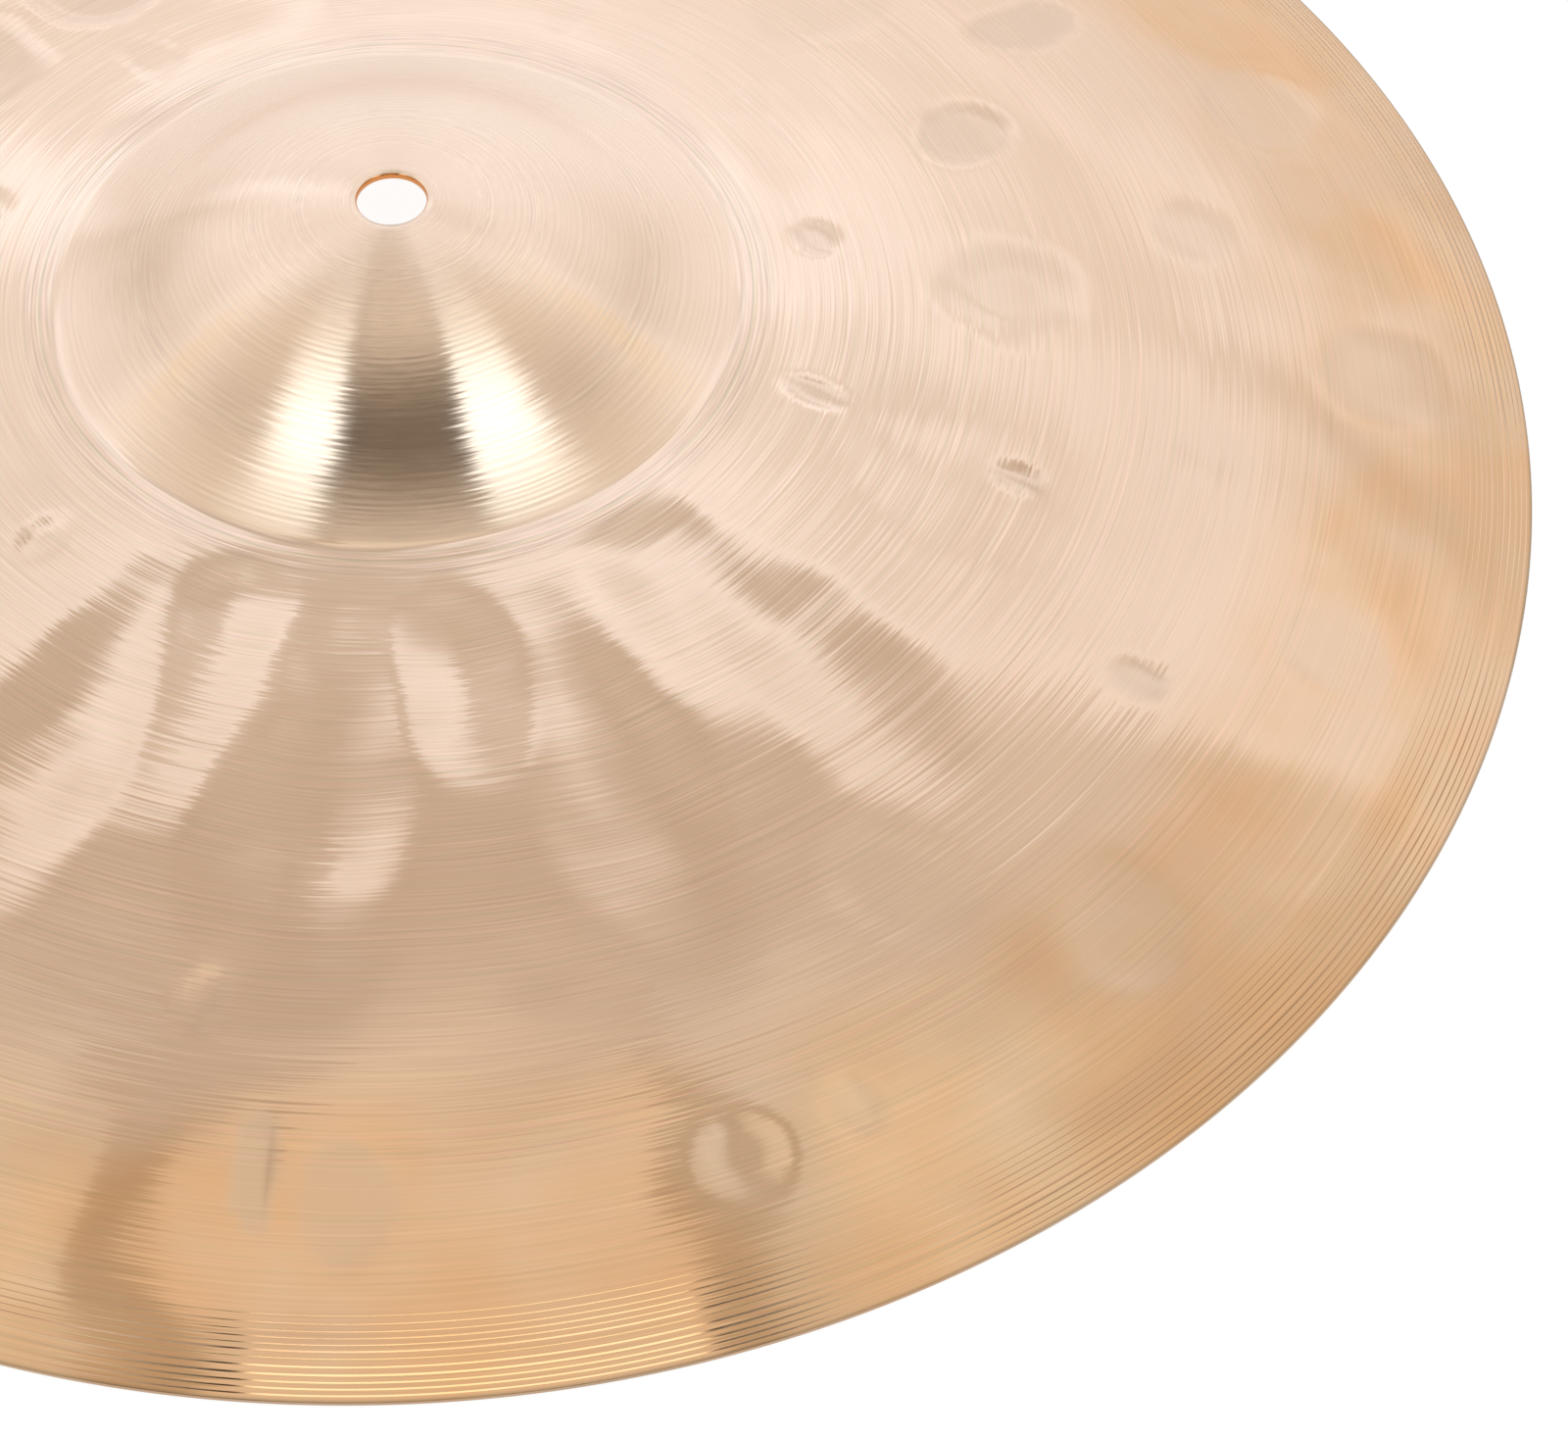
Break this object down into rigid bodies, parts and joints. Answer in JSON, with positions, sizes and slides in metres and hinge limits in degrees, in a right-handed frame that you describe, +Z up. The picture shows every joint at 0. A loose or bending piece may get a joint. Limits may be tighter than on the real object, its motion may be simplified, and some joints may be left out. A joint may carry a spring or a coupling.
{
  "type": "crash cymbal",
  "caption": "Thin turned bronze crash cymbal with a raised bell and a plain centre hole, rung by a stick while a stand holds it through the hole.",
  "frame": {"origin": "centre of the circle that the rim rests on", "axes": "+Z up along the axis of symmetry, out through the centre hole; X and Y are free because the form is turned"},
  "size_m": [0.4064, 0.4064, 0.0505],
  "materials": {
    "bell_bronze": "polished cast bronze with turned rings and shallow hammer marks"
  },
  "bodies": {
    "root": {"cymbal": "bell_bronze"}
  },
  "joints": []
}
